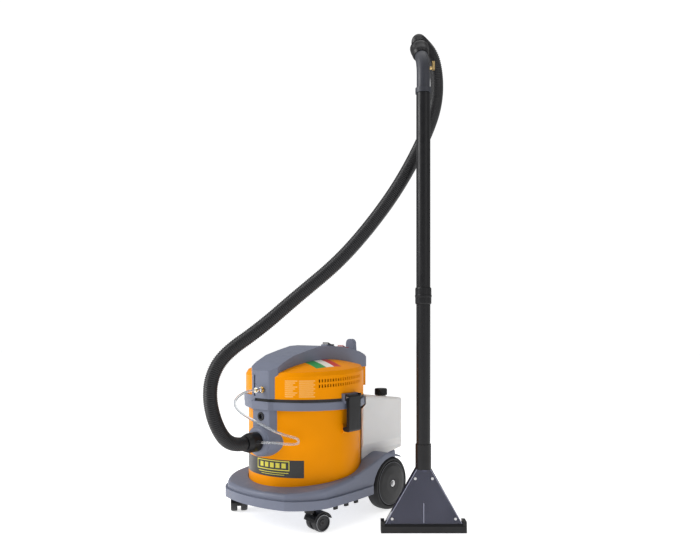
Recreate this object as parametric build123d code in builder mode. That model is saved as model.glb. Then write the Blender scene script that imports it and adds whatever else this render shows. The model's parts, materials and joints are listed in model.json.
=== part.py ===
"""Commercial spot extractor: a wheeled base with a round recovery tank, a lift-off motor head,
a rear solution tank, a suction hose and an upright hand wand with a clear floor tool.

Units are millimetres. The pieces are laid out about the axis of the recovery tank, with the
front of the machine towards -Y and the floor at Z = 0. When they are written they are moved so
that the origin is the bottom centre of the whole object without its hose and tube.
"""
from build123d import *
import os
from math import cos, pi, radians, sin, tan

os.makedirs("parts", exist_ok=True)

# ---------------------------------------------------------------- driving dimensions
FRAME_SHIFT = Vector(-135.5, -36.0, 0)     # layout frame to written frame
RUN_FIT = 0.06                             # radial clearance of pins and shafts
GAP = 0.3                                  # clearance between neighbouring bodies

TANK_RADIUS = 166.0
TANK_WALL = 3.0
TANK_BOTTOM = 100.0
TANK_RIM = 332.6

SKIRT_LOW = 67.0
SKIRT_LEDGE = 91.0
LEDGE_INSET = 7.0
BASE_WALL = 4.0
DECK_THICKNESS = 6.0
DECK_HEIGHT = 118.0                        # deck height at DECK_REFERENCE_Y
DECK_REFERENCE_Y = -119.0
DECK_SLOPE = 0.12
BASE_REAR_HALF = 134.0
BASE_REAR_Y = 304.0

AXLE_Y = 192.0
AXLE_Z = 79.0
AXLE_RADIUS = 6.0
WHEEL_RADIUS = 79.0
WHEEL_INNER_X = 140.0
WHEEL_WIDTH = 40.0
WELL_RADIUS = 84.0                         # wheel well about the axle, at the top
FENDER_TOP = 175.5

CASTER_X = 144.0
CASTER_Y = -131.0
CASTER_TRAIL = 27.0
CASTER_WHEEL_RADIUS = 25.0
CASTER_YAW = {"left": 51.0, "right": -12.0}

INLET_Z = 236.0
PANEL_FRONT_Y = -176.0
RING_RADIUS = 178.0
RING_LOW = 323.4
PLATE_LOW = 333.0
PLATE_TOP = 338.0
RING_TOP = 346.0
GASKET_TOP = 354.0
HOOD_RADIUS = 174.0
HOOD_CREASE = 414.0                        # top of the hood's wall at the front
HOOD_CROWN = 451.0                         # before the dome is tilted
HOOD_TILT = 2.6                            # the dome rises to the rear, degrees
HOOD_WALL = 3.0
HOOD_BOX_HALF = 54.0
HOOD_BOX_REAR = 221.5
HOOD_BOX_LOW = 368.0
HOOD_BOX_TOP = 427.0
COUPLING_X = 9.0
COUPLING_Z = 379.0
FLOAT_SEAT_RADIUS = 20.0

LATCH_INNER_X = 184.3
LATCH_THICKNESS = 9.7
LATCH_HALF_WIDTH = 25.0
LATCH_LOW = 261.0
LATCH_PIN_Z = 357.5

VACUUM_SWITCH = (102.0, 490.0)             # y and z of the rocker's pivot
PUMP_SWITCH = (172.0, 479.5)
SWITCH_LEAN = -8.0                         # the band slopes down to the rear, degrees

CAP_X = 99.0
CAP_Y = 243.0

WAND_FOOT = Vector(375, 70, 0)
WAND_RIGHT = Vector(cos(radians(40)), sin(radians(40)), 0)
WAND_BACK = Vector(-sin(radians(40)), cos(radians(40)), 0)
UP = Vector(0, 0, 1)
WAND_TUBE_RADIUS = 19.0
GRIP_END = (-7.0, 45.0, 1327.0)            # right, back and up from the wand's foot

HOSE_RADIUS = 19.0
TUBE_RADIUS = 3.5

# Route of the vacuum hose, from the inlet cuff to the wand, one point a line.
HOSE_LOWER_ROUTE = [
    (0, -236, 236),
    (0, -264, 236),
    (1, -301, 252),
    (4, -329, 286),
    (4, -347, 326),
    (2, -355, 372),
    (2, -350, 418),
    (9, -331, 462),
    (28, -300, 498),
    (55, -263, 530),
    (85, -222, 570),
    (116, -180, 616),
]
HOSE_PARTING = (150, -138, 661.5)
HOSE_UPPER_ROUTE = [
    (184, -96, 707),
    (213, -56, 755),
    (241, -19, 808),
    (267, 18, 865),
    (289, 56, 925),
    (307, 94, 990),
    (319, 131, 1055),
    (327, 167, 1120),
    (328, 198, 1180),
    (325, 217, 1238),
    (322, 218, 1297),
    (318, 203, 1344),
    (310, 159, 1367),
]
HOSE_EXIT_RUN = 36.0
# Route of the clear solution tube, from the quick coupling to the port on the hose cuff.
SOLUTION_ROUTE = [
    (9, -206, 379),
    (9, -228, 379),
    (-2, -248, 371),
    (-13, -259, 355),
    (-13, -258, 338),
    (-2, -249, 322),
    (18, -234, 306),
    (42, -213, 290),
    (69, -191, 271),
    (92, -172, 260),
    (108, -158, 255),
    (119, -149, 250),
    (117, -146, 238),
    (103, -153, 234),
    (80, -170, 236),
    (57, -187.7, 239),
]
PORT_DIRECTION = Vector(0.784, 0.6207, 0)
PORT_ROOT = Vector(10, -224.9, 239)
PORT_REACH = 31.0

finished = []


# ---------------------------------------------------------------- shared shapes
def keep(piece, label):
    """Label a finished sub-part and put it on the list to be written."""
    piece.part.label = label
    finished.append(piece)


def turned(points, origin=(0, 0, 0), direction=(0, 0, 1)):
    """Solid of revolution. Each point is (distance along the axis, radius)."""
    along = Vector(*direction)
    helper = Vector(1, 0, 0) if abs(along.Z) > 0.9 else UP
    with BuildPart() as solid:
        with BuildSketch(Plane(origin=origin, x_dir=along, z_dir=along.cross(helper))):
            with BuildLine():
                Polyline(*points, close=True)
            make_face()
        revolve(axis=Axis(origin, direction))
    return solid.part


def slab(plane, points, thickness, both=False):
    """Prism of a closed outline, standing on a plane."""
    with BuildPart() as solid:
        with BuildSketch(plane):
            with BuildLine():
                Polyline(*points, close=True)
            make_face()
        extrude(amount=thickness, both=both)
    return solid.part


def rod(start, end, radius):
    """Straight round bar between two points."""
    start = Vector(*start)
    span = Vector(*end) - start
    with BuildPart() as solid:
        with BuildSketch(Plane(origin=start, z_dir=span.normalized())):
            Circle(radius)
        extrude(amount=span.length)
    return solid.part


def block(x_range, y_range, z_range):
    """Box between two corners."""
    (x0, x1), (y0, y1), (z0, z1) = x_range, y_range, z_range
    return slab(Plane.XY.offset(z0), [(x0, y0), (x1, y0), (x1, y1), (x0, y1)], z1 - z0)


def bend_radii(route):
    """The largest tangent arc for every corner of a route."""
    points = [Vector(*point) for point in route]
    radii = []
    for before, corner, after in zip(points, points[1:], points[2:]):
        first = corner - before
        second = after - corner
        half_turn = radians(first.get_angle(second)) / 2
        radii.append(0.45 * min(first.length, second.length) / tan(half_turn))
    return radii


def bent_tube(route, radius, radii):
    """Round tube along straight runs joined by tangent arcs."""
    with BuildPart() as solid:
        with BuildLine() as path:
            FilletPolyline(*route, radius=radii)
        spine = path.wires()[0]
        with BuildSketch(Plane(origin=spine @ 0, z_dir=spine % 0)):
            Circle(radius)
        sweep(path=spine)
    return solid.part, spine.length


def cord(route, radius, label):
    """A free hose or tube as one plain closed solid, with its radii and volume printed."""
    radii = bend_radii(route)
    tube, length = bent_tube(route, radius, radii)
    with BuildPart() as piece:
        add(tube)
    section = pi * radius * radius
    print(label, "length", round(length), "volume ratio", round(tube.volume / (section * length), 4))
    print(label, "radii", [round(value) for value in radii])
    keep(piece, label)


def wand_point(right, back, up):
    """A point given from the wand's foot: to its right, behind it and above it."""
    return WAND_FOOT + WAND_RIGHT * right + WAND_BACK * back + UP * up


def wand_front(back):
    """Upright plane facing the front of the wand: X is right, Y is up."""
    return Plane(origin=wand_point(0, back, 0), x_dir=WAND_RIGHT, z_dir=WAND_BACK * -1)


def wand_side(right):
    """Upright plane seen from the wand's right: X is back, Y is up."""
    return Plane(origin=wand_point(right, 0, 0), x_dir=WAND_BACK, z_dir=WAND_RIGHT)


def above_deck(drop):
    """Everything over the sloping deck, lowered by drop."""
    low_y, high_y = -300.0, 400.0
    low_z = DECK_HEIGHT + DECK_SLOPE * (low_y - DECK_REFERENCE_Y) - drop
    high_z = DECK_HEIGHT + DECK_SLOPE * (high_y - DECK_REFERENCE_Y) - drop
    outline = [(low_y, low_z), (high_y, high_z), (high_y, 600), (low_y, 600)]
    return slab(Plane.YZ, outline, 300, both=True)


# ---------------------------------------------------------------- base trolley
def base_outline(height, inset):
    """Plan of the trolley: bowed front, round front corners, step in before the rear wheels."""
    with BuildSketch(Plane.XY.offset(height)) as plan:
        with BuildLine():
            ThreePointArc((0, -222), (60, -217.5), (118, -203))
            ThreePointArc((118, -203), (160, -166.5), (190, -110))
            ThreePointArc((190, -110), (194, -10), (190, 90))
            Line((190, 90), (BASE_REAR_HALF, 96))
            Line((BASE_REAR_HALF, 96), (BASE_REAR_HALF, BASE_REAR_Y - 20))
            Line((BASE_REAR_HALF, BASE_REAR_Y - 20), (BASE_REAR_HALF - 20, BASE_REAR_Y))
            Line((BASE_REAR_HALF - 20, BASE_REAR_Y), (0, BASE_REAR_Y))
            mirror(about=Plane.YZ)
        make_face()
        if inset:
            offset(amount=-inset)
    return plan.sketch


with BuildPart() as base_hollow:
    extrude(base_outline(SKIRT_LOW - 1, BASE_WALL), amount=SKIRT_LEDGE - SKIRT_LOW - 3)
    extrude(base_outline(SKIRT_LOW - 1, BASE_WALL + LEDGE_INSET), amount=120)
    add(above_deck(DECK_THICKNESS), mode=Mode.SUBTRACT)
    recess_outer = TANK_RADIUS + 8
    add(turned([(94, 0), (200, 0), (200, recess_outer), (94, recess_outer)]), mode=Mode.SUBTRACT)

with BuildPart() as base_trolley:
    extrude(base_outline(SKIRT_LOW, 0), amount=SKIRT_LEDGE - SKIRT_LOW)
    extrude(base_outline(SKIRT_LEDGE, LEDGE_INSET), amount=120)
    add(above_deck(0), mode=Mode.SUBTRACT)
    deck_face = base_trolley.faces().filter_by(lambda face: face.normal_at().Z > 0.9).sort_by(SortBy.AREA)[-1]
    fillet(deck_face.edges(), radius=11)
    add(base_hollow.part, mode=Mode.SUBTRACT)
    with Locations((0, 0, TANK_BOTTOM)):
        Cylinder(TANK_RADIUS + 2, 200, align=(Align.CENTER, Align.CENTER, Align.MIN), mode=Mode.SUBTRACT)
    for side in (-1, 1):
        add(rod((side * CASTER_X, CASTER_Y, 72), (side * CASTER_X, CASTER_Y, 112), 13))
        stem_top = (side * CASTER_X, CASTER_Y, 106)
        add(rod((side * CASTER_X, CASTER_Y, 60), stem_top, 5.5 + RUN_FIT), mode=Mode.SUBTRACT)
        add(rod((side * 112, AXLE_Y, AXLE_Z), (side * BASE_REAR_HALF, AXLE_Y, AXLE_Z), 11.9))
    add(rod((-200, AXLE_Y, AXLE_Z), (200, AXLE_Y, AXLE_Z), AXLE_RADIUS + 0.02), mode=Mode.SUBTRACT)
keep(base_trolley, "base_trolley")

# Small rubber buffers under both long edges of the skirt.
with BuildPart() as skirt_buffers:
    for side in (-1, 1):
        for buffer_y in (-75, -30, 12):
            x_mid = side * 187
            with BuildSketch(Plane.XY.offset(58)):
                with Locations((x_mid, buffer_y)):
                    SlotOverall(16, 8, rotation=90)
            extrude(amount=SKIRT_LOW - 58)
keep(skirt_buffers, "skirt_buffers")

# Fenders: the deck sweeps up along both sides into an arch over each rear wheel.
FENDER_INNER_X = 134.3
FENDER_OUTER_X = 186.0
FENDER_CREST = [(2, 132.8), (24, 136.5), (51, 143), (74, 150.5), (111, 161.5), (135, 169.5), (158, FENDER_TOP),
                (176, 173.5), (196, 169), (216, 163.5), (235, 155.5)]
WELL_ANGLES = (63, 75, 88, 104, 118, 132, 146, 160, 174, 184)


def well_point(angle):
    """Point of the wheel well's outline: it opens out towards the front of the wheel."""
    radius = WELL_RADIUS + max(0, angle - 104) * 0.22
    return (AXLE_Y + radius * cos(radians(angle)), AXLE_Z + radius * sin(radians(angle)))


with BuildPart() as wheel_guards:
    well = [well_point(angle) for angle in WELL_ANGLES]
    for side in (-1, 1):
        start_x = FENDER_INNER_X if side > 0 else -FENDER_OUTER_X
        fender_plane = Plane.YZ.offset(start_x)
        with BuildSketch(fender_plane):
            with BuildLine():
                crest = Spline(*FENDER_CREST)
                rim = Polyline(crest @ 1, *well, (95, SKIRT_LOW + 1), (60, SKIRT_LOW + 1), crest @ 0)
            make_face()
        extrude(amount=FENDER_OUTER_X - FENDER_INNER_X)
    crests = wheel_guards.faces().filter_by(lambda face: face.normal_at().Z > 0.7 and face.area > 5000)
    outer = [edge for face in crests for edge in face.edges() if abs(edge.center().X) > FENDER_OUTER_X - 0.5]
    fillet(outer, radius=5)
    for side in (-1, 1):
        # Root of the arch: a web against the side of the base, inside the wheel.
        root = [(93, 72), (93, 144), (240, 158), (240, 72)]
        add(slab(Plane.YZ.offset(FENDER_INNER_X if side > 0 else -138.2), root, 3.9))
    add(turned([(60, 0), (200, 0), (200, TANK_RADIUS + 2.4), (60, TANK_RADIUS + 2.4)]), mode=Mode.SUBTRACT)
    add(base_trolley.part, mode=Mode.SUBTRACT)
    add(base_hollow.part, mode=Mode.SUBTRACT)
    add(rod((-200, AXLE_Y, AXLE_Z), (200, AXLE_Y, AXLE_Z), AXLE_RADIUS + 0.02), mode=Mode.SUBTRACT)
keep(wheel_guards, "wheel_guards")

with BuildPart() as rear_axle:
    add(rod((-187, AXLE_Y, AXLE_Z), (187, AXLE_Y, AXLE_Z), AXLE_RADIUS))
    for side in (-1, 1):
        groove = [(182.2, AXLE_RADIUS - 1), (183.8, AXLE_RADIUS - 1), (183.8, 8), (182.2, 8)]
        add(turned(groove, (0, AXLE_Y, AXLE_Z), (side, 0, 0)), mode=Mode.SUBTRACT)
    for side in (-1, 1):
        clip = [(182.3, AXLE_RADIUS - 0.9), (183.7, AXLE_RADIUS - 0.9), (183.7, 10), (182.3, 10)]
        add(turned(clip, (0, AXLE_Y, AXLE_Z), (side, 0, 0)))
keep(rear_axle, "rear_axle")


def rear_wheel(side, name):
    """Dished plastic disc and its soft tyre."""
    centre = (0, AXLE_Y, AXLE_Z)
    direction = (side, 0, 0)
    inner = WHEEL_INNER_X
    outer = WHEEL_INNER_X + WHEEL_WIDTH
    bore = AXLE_RADIUS + RUN_FIT
    with BuildPart() as hub:
        add(turned([
            (inner, bore), (outer + 1.5, bore), (outer + 1.5, 11), (outer + 4, 13), (outer + 4, 30),
            (outer + 2, 52), (outer - 0.5, 63), (outer - 1, 64.5), (outer - 3, 65.5), (outer - 1, 68),
            (inner + 2, 68), (inner + 2, 62), (inner + 20, 60), (inner + 20, 20), (inner, 16),
        ], centre, direction))
    with BuildPart() as tyre:
        add(turned([
            (inner, 68.1), (outer, 68.1), (outer, 73), (outer - 4, 77.6), (outer - 12, WHEEL_RADIUS),
            (inner + 12, WHEEL_RADIUS), (inner + 4, 77.6), (inner, 73),
        ], centre, direction))
    keep(hub, f"rear_hub_{name}")
    keep(tyre, f"rear_tyre_{name}")


rear_wheel(-1, "left")
rear_wheel(1, "right")


# ---------------------------------------------------------------- front casters
def caster(side, name):
    """Twin-wheel swivel caster: stem, hood and axle block round a loose pin, and two wheels."""
    yaw = radians(CASTER_YAW[name])
    axle_dir = Vector(cos(yaw), sin(yaw), 0)
    trail_dir = Vector(-sin(yaw), cos(yaw), 0)
    swivel = Vector(side * CASTER_X, CASTER_Y, 0)
    centre = swivel + trail_dir * CASTER_TRAIL + UP * CASTER_WHEEL_RADIUS
    side_plane = Plane(origin=centre, x_dir=trail_dir, z_dir=axle_dir)
    hood_arc = [(cos(radians(angle)), sin(radians(angle))) for angle in range(20, 171, 15)]
    hood_rim = [(30.5 * c, 30.5 * s) for c, s in hood_arc]
    hood_root = [(27.5 * c, 27.5 * s) for c, s in reversed(hood_arc)]
    with BuildPart() as frame:
        add(rod(swivel + UP * 54, swivel + UP * 68, 15))
        add(rod(swivel + UP * 60, swivel + UP * 104, 5.5))
        add(slab(side_plane, hood_rim + hood_root, 25, both=True))
        add(slab(side_plane, [(-22, -6), (10, -10), (10, 28.5), (-22, 28.5)], 5, both=True))
        pin_start = centre - axle_dir * 30
        add(rod(pin_start, centre + axle_dir * 30, 3.02), mode=Mode.SUBTRACT)
        add(rod(centre - axle_dir * 24, centre + axle_dir * 24, 3))
    keep(frame, f"caster_{name}_frame")
    for end, label in ((-1, "inner"), (1, "outer")):
        facing = axle_dir * (end * side)
        with BuildPart() as wheel:
            add(turned([
                (5.4, 3 + RUN_FIT), (23, 3 + RUN_FIT), (23, 9), (21, 10), (21, 19.5), (24.5, 20.5),
                (24.5, 22), (22, 24.3), (17, CASTER_WHEEL_RADIUS), (7, CASTER_WHEEL_RADIUS), (5.4, 23.6),
            ], centre, facing))
        keep(wheel, f"caster_{name}_{label}_wheel")


caster(-1, "left")
caster(1, "right")


# ---------------------------------------------------------------- recovery tank and inlet
with BuildPart() as recovery_tank:
    inner = TANK_RADIUS - TANK_WALL
    add(turned([
        (TANK_BOTTOM, 0), (TANK_BOTTOM, TANK_RADIUS - 8), (TANK_BOTTOM + 8, TANK_RADIUS),
        (TANK_RIM, TANK_RADIUS), (TANK_RIM, inner), (TANK_BOTTOM + 8, inner),
        (TANK_BOTTOM + TANK_WALL, inner - 6), (TANK_BOTTOM + TANK_WALL, 0),
    ]))
    add(rod((0, -200, INLET_Z), (0, -100, INLET_Z), 22), mode=Mode.SUBTRACT)
    for side in (-1, 1):
        # Ramped catch behind the toe of each latch.
        ramp = [(side * 164, 250), (side * 169.4, 262), (side * 169.4, 272), (side * 164, 284)]
        add(slab(Plane.XZ, ramp, 22, both=True))
keep(recovery_tank, "recovery_tank")

with BuildPart() as inlet_panel:
    panel_plan = [(-47, -140), (-47, -159), (-33, PANEL_FRONT_Y), (33, PANEL_FRONT_Y), (47, -159), (47, -140)]
    add(slab(Plane.XY.offset(INLET_Z), panel_plan, RING_LOW - GAP - INLET_Z))
    for plane_y, half_width, half_height in ((-135, 76, 48), (-186, 45, 42)):
        with BuildSketch(Plane(origin=(0, plane_y, INLET_Z), x_dir=(1, 0, 0), z_dir=(0, -1, 0))):
            Ellipse(half_width, half_height)
    loft()
    add(turned([(180, 0), (180, 41), (186, 41), (191, 37), (193, 31), (193, 0)], (0, 0, INLET_Z), (0, -1, 0)))
    with Locations((0, 0, 150)):
        Cylinder(TANK_RADIUS + 0.1, 400, align=(Align.CENTER, Align.CENTER, Align.MIN), mode=Mode.SUBTRACT)
        Cylinder(TANK_RADIUS + 0.1, 400, mode=Mode.SUBTRACT)
    add(rod((0, -230, INLET_Z), (0, -120, INLET_Z), 24), mode=Mode.SUBTRACT)
    add(rod((0, -200, 304), (0, -170, 304), 10.5), mode=Mode.SUBTRACT)
keep(inlet_panel, "inlet_panel")

with BuildPart() as port_bush:
    add(turned([(170.2, 7), (178, 7), (178, 12), (176.1, 12), (176.1, 10.4), (170.2, 10.4)], (0, 0, 304), (0, -1, 0)))
keep(port_bush, "port_bush")

with BuildPart() as hose_cuff:
    add(turned([
        (167, 16), (236, 16), (236, 22), (226, 25.5), (221, 27), (193.3, 27), (193.3, 23.9), (167, 23.9),
    ], (0, 0, INLET_Z), (0, -1, 0)))
    port_foot = PORT_ROOT + PORT_DIRECTION * 14
    add(rod(port_foot, PORT_ROOT + PORT_DIRECTION * PORT_REACH, 5))
    add(rod((0, -160, INLET_Z), (0, -240, INLET_Z), 16), mode=Mode.SUBTRACT)
keep(hose_cuff, "hose_cuff")

# Hood inside the tank that turns the dirty water down.
with BuildPart() as inlet_deflector:
    add(block((-27, 27), (-161, -118), (200, 264)))
    add(block((-24, 24), (-170, -121), (190, 261)), mode=Mode.SUBTRACT)
    add(turned([(90, TANK_RADIUS - TANK_WALL), (400, TANK_RADIUS - TANK_WALL), (400, 260), (90, 260)]),
        mode=Mode.SUBTRACT)
keep(inlet_deflector, "inlet_deflector")

# ---------------------------------------------------------------- motor head
with BuildPart() as head_ring:
    add(turned([
        (RING_LOW, TANK_RADIUS + 0.6), (RING_LOW, RING_RADIUS - 1.5), (RING_LOW + 1.5, RING_RADIUS),
        (RING_TOP - 2, RING_RADIUS), (RING_TOP, RING_RADIUS - 2), (RING_TOP, 168),
        (PLATE_TOP, 168), (PLATE_TOP, FLOAT_SEAT_RADIUS), (PLATE_LOW, FLOAT_SEAT_RADIUS),
        (PLATE_LOW, TANK_RADIUS + 0.6),
    ]))
    chin = [(-54, -152), (-54, -165), (-34, -181), (34, -181), (54, -165), (54, -152)]
    add(slab(Plane.XY.offset(RING_LOW), chin, RING_TOP - RING_LOW))
    for side in (-1, 1):
        boss = [(side * 164, -31), (side * 183.4, -27), (side * 183.4, 27), (side * 164, 31)]
        add(slab(Plane.XY.offset(RING_TOP - 6), boss, 27))
        for end in (-1, 1):
            ear_low, ear_high = sorted((end * (LATCH_HALF_WIDTH + 0.4), end * 31))
            ear = [(side * 176, ear_low), (side * 191.5, ear_low), (side * 191.5, ear_high), (side * 176, ear_high)]
            add(slab(Plane.XY.offset(RING_TOP + 2), ear, 18))
        add(rod((side * 189.15, -40, LATCH_PIN_Z), (side * 189.15, 40, LATCH_PIN_Z), 2.52), mode=Mode.SUBTRACT)
    tank_sleeve = [(300, 0), (300, TANK_RADIUS + 0.6), (PLATE_LOW, TANK_RADIUS + 0.6), (PLATE_LOW, 0)]
    add(turned(tank_sleeve), mode=Mode.SUBTRACT)
keep(head_ring, "head_ring")

# Two rubber rings: the gasket under the hood, and the lip seal inside the tank's rim.
with BuildPart() as head_seals:
    add(turned([(PLATE_LOW - 6, 158), (PLATE_LOW - 6, 162.4), (PLATE_LOW, 162.4), (PLATE_LOW, 155)]))
    add(turned([(RING_TOP, 168.2), (RING_TOP, 175), (GASKET_TOP, 175), (GASKET_TOP, 168.2)]))
    for side in (-1, 1):
        add(block(sorted((side * 150, side * 195)), (-33, 33), (RING_TOP - 2, 380)), mode=Mode.SUBTRACT)
keep(head_seals, "head_seals")


def dome(shrink, low):
    """Solid under the hood's outer surface: a round wall cut off by a tilted, shouldered dome."""
    wall = HOOD_RADIUS - shrink
    with BuildPart() as cap:
        with BuildSketch(Plane.XZ):
            with BuildLine():
                shoulder = (167 - 0.8 * shrink, HOOD_CREASE + 11.5 - 0.7 * shrink)
                foot = (188 - 0.8 * shrink, HOOD_CREASE - 22)
                crown = (0, HOOD_CROWN - shrink)
                rise = crown[1] - shoulder[1]
                ball = (shoulder[0] ** 2 + rise ** 2) / (2 * rise)
                half_way = shoulder[0] / 2
                Line((0, 200), (foot[0], 200))
                Line((foot[0], 200), foot)
                Line(foot, shoulder)
                ThreePointArc(shoulder, (half_way, crown[1] - ball + (ball ** 2 - half_way ** 2) ** 0.5), crown)
                Line(crown, (0, 200))
            make_face()
        revolve(axis=Axis.Z)
    tilted = cap.part.rotate(Axis((0, -HOOD_RADIUS, HOOD_CREASE), (1, 0, 0)), HOOD_TILT)
    with BuildPart() as solid:
        add(turned([(low, 0), (low, wall), (520, wall), (520, 0)]))
        add(tilted, mode=Mode.INTERSECT)
    return solid.part


def rear_box(shrink):
    """Box that carries the hood's rear wall out under the handle band."""
    half = HOOD_BOX_HALF - shrink
    return block((-half, half), (120, HOOD_BOX_REAR - shrink), (HOOD_BOX_LOW + shrink, HOOD_BOX_TOP - shrink))


VENT_ROWS = (409, 394.5)
VENT_COUNT = 20
VENT_SPREAD = 52.0
VENT_FORWARD = 7.0                         # the rows sit forward of the sides by this angle

with BuildPart() as hood:
    add(dome(0, GASKET_TOP))
    add(rear_box(0))
    add(dome(HOOD_WALL, GASKET_TOP - 10), mode=Mode.SUBTRACT)
    add(rear_box(HOOD_WALL), mode=Mode.SUBTRACT)
    for side in (-1, 1):
        add(block(sorted((side * 150, side * 195)), (-31.5, 31.5), (GASKET_TOP - 1, 367.6)), mode=Mode.SUBTRACT)
    for slot in range(VENT_COUNT):
        angle = VENT_SPREAD * (slot / (VENT_COUNT - 1) - 0.5) - VENT_FORWARD
        slot_y = (HOOD_RADIUS - 2) * sin(radians(angle))
        for row_z in VENT_ROWS:
            slot_z = row_z + slot_y * tan(radians(HOOD_TILT))
            for side in (-1, 1):
                slot_x = side * (HOOD_RADIUS - 2) * cos(radians(angle))
                with Locations(Location((slot_x, slot_y, slot_z), (0, 0, side * angle))):
                    Box(12, 3.6, 8.5, mode=Mode.SUBTRACT)
    add(rod((COUPLING_X, -190, COUPLING_Z), (COUPLING_X, -150, COUPLING_Z), 5.6), mode=Mode.SUBTRACT)
    add(rod((30, 200, 395), (30, 240, 395), 6.1), mode=Mode.SUBTRACT)
    for screw_x in (-44, 44):
        for screw_z in (378, 417):
            add(rod((screw_x, 210, screw_z), (screw_x, 230, screw_z), 2.05), mode=Mode.SUBTRACT)
keep(hood, "hood")


def band_solid(shrink):
    """Handle band: a side profile over the crown, crossed with its plan. Shrink draws it in."""
    profile = [
        (-178 + shrink, 340), (-178 + shrink, 431), (-145, 453 - shrink), (-106, 471 - shrink),
        (-54, 484 - shrink), (-4, 495 - shrink), (30, 496.5 - shrink), (100, 493 - shrink),
        (140, 486 - shrink), (190, 475 - shrink), (214, 465 - shrink), (222 - shrink, 458),
        (222 - shrink, HOOD_BOX_TOP + 0.3), (-100, HOOD_BOX_TOP + 0.3), (-150, 340),
    ]
    with BuildPart() as solid:
        add(slab(Plane.YZ, profile, 90, both=True))
        with BuildSketch(Plane.XY.offset(330)):
            with BuildLine():
                Line((0, -185), (33 - shrink, -185))
                Line((33 - shrink, -185), (33 - shrink, -178))
                Line((33 - shrink, -178), (53 - shrink, -163))
                ThreePointArc((53 - shrink, -163), (60 - shrink, 25), (56 - shrink, 226))
                Line((56 - shrink, 226), (0, 226))
                mirror(about=Plane.YZ)
            make_face()
        extrude(amount=200, mode=Mode.INTERSECT)
    return solid.part


SWITCH_SIZE = (23.0, 32.5)                 # opening for a rocker: across and along the band
BEZEL_MARGIN = 2.6
ROCKER_PIN_RADIUS = 1.5


def switch_plane(switch):
    """Plane through a rocker's pivot, leaning with the top of the band."""
    pivot_y, pivot_z = switch
    lean = radians(SWITCH_LEAN)
    return Plane(origin=(0, pivot_y, pivot_z), x_dir=(1, 0, 0), z_dir=(0, -sin(lean), cos(lean)))


def switch_prism(switch, grow, low, high):
    """Upright prism of a switch opening grown by grow, between two heights from its pivot."""
    width, length = SWITCH_SIZE
    with BuildPart() as solid:
        with BuildSketch(switch_plane(switch).offset(low)):
            RectangleRounded(width + 2 * grow, length + 2 * grow, 0.8 + grow)
        extrude(amount=high - low)
    return solid.part


with BuildPart() as handle_band:
    add(band_solid(0))
    add(band_solid(3.6), mode=Mode.SUBTRACT)
    add(dome(-0.15, 300), mode=Mode.SUBTRACT)
    add(rear_box(-0.15), mode=Mode.SUBTRACT)
    add(block((-80, 80), (-230, 230), (300, GASKET_TOP + 0.2)), mode=Mode.SUBTRACT)
    add(block((-27, -21), (-190, -174.6), (359, 419)), mode=Mode.SUBTRACT)
    add(block((-19, 19), (205.4, 230), (455, 520)), mode=Mode.SUBTRACT)
    for switch in (VACUUM_SWITCH, PUMP_SWITCH):
        add(switch_prism(switch, BEZEL_MARGIN + 0.1, -20, 20), mode=Mode.SUBTRACT)
    add(rod((COUPLING_X, -190, COUPLING_Z), (COUPLING_X, -150, COUPLING_Z), 5.6), mode=Mode.SUBTRACT)
keep(handle_band, "handle_band")


# ---------------------------------------------------------------- switches
with BuildPart() as switch_bezels:
    for switch in (VACUUM_SWITCH, PUMP_SWITCH):
        add(switch_prism(switch, BEZEL_MARGIN, -4, 6))
        add(switch_prism(switch, 0, -10, 10), mode=Mode.SUBTRACT)
    for pivot_y, pivot_z in (VACUUM_SWITCH, PUMP_SWITCH):
        add(rod((-12.5, pivot_y, pivot_z), (12.5, pivot_y, pivot_z), ROCKER_PIN_RADIUS))
keep(switch_bezels, "switch_bezels")


def rocker(switch, label):
    """Rocker with two gripping faces that meet at a shallow valley, tipped to its off side."""
    pivot_y, pivot_z = switch
    tip = radians(SWITCH_LEAN - 6)
    plane = Plane(origin=(0, pivot_y, pivot_z), x_dir=(0, cos(tip), sin(tip)), z_dir=(1, 0, 0))
    with BuildPart() as piece:
        with BuildSketch(plane):
            with BuildLine():
                Polyline((-14.8, 2), (-14.4, 12.6), (0, 9.8), (14.4, 12.6), (14.8, 2), (4, -4), (-4, -4), close=True)
            make_face()
        extrude(amount=11, both=True)
        pin_bore = ROCKER_PIN_RADIUS + RUN_FIT
        add(rod((-12, pivot_y, pivot_z), (12, pivot_y, pivot_z), pin_bore), mode=Mode.SUBTRACT)
    keep(piece, label)


rocker(VACUUM_SWITCH, "switch_vacuum")
rocker(PUMP_SWITCH, "switch_pump")

# Upright hook at the back of the band for winding up the mains lead.
with BuildPart() as cable_hook:
    with BuildSketch(Plane.XZ.offset(-222)):
        with BuildLine():
            Line((-18, 457), (18, 457))
            Line((18, 457), (15, 497))
            ThreePointArc((15, 497), (0, 514), (-15, 497))
            Line((-15, 497), (-18, 457))
        make_face()
    extrude(amount=16)
    add(block((-15, 15), (211, 215), (455, 468)), mode=Mode.SUBTRACT)
keep(cable_hook, "cable_hook")

with BuildPart() as cable_gland:
    add(turned([
        (216, 3.5), (240, 3.5), (240, 6.5), (228, 9), (221.6, 9), (221.6, 6), (216, 6),
    ], (30, 0, 395), (0, 1, 0)))
keep(cable_gland, "cable_gland")

with BuildPart() as hood_screws:
    for screw_x in (-44, 44):
        for screw_z in (378, 417):
            add(turned([(212, 0), (224, 0), (224, 2.5), (221.6, 4), (221.6, 2), (212, 2)],
                       (screw_x, 0, screw_z), (0, 1, 0)))
            add(block((screw_x - 2.5, screw_x + 2.5), (223, 226), (screw_z - 0.5, screw_z + 0.5)), mode=Mode.SUBTRACT)
            add(block((screw_x - 0.5, screw_x + 0.5), (223, 226), (screw_z - 2.5, screw_z + 2.5)), mode=Mode.SUBTRACT)
keep(hood_screws, "hood_screws")

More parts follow.
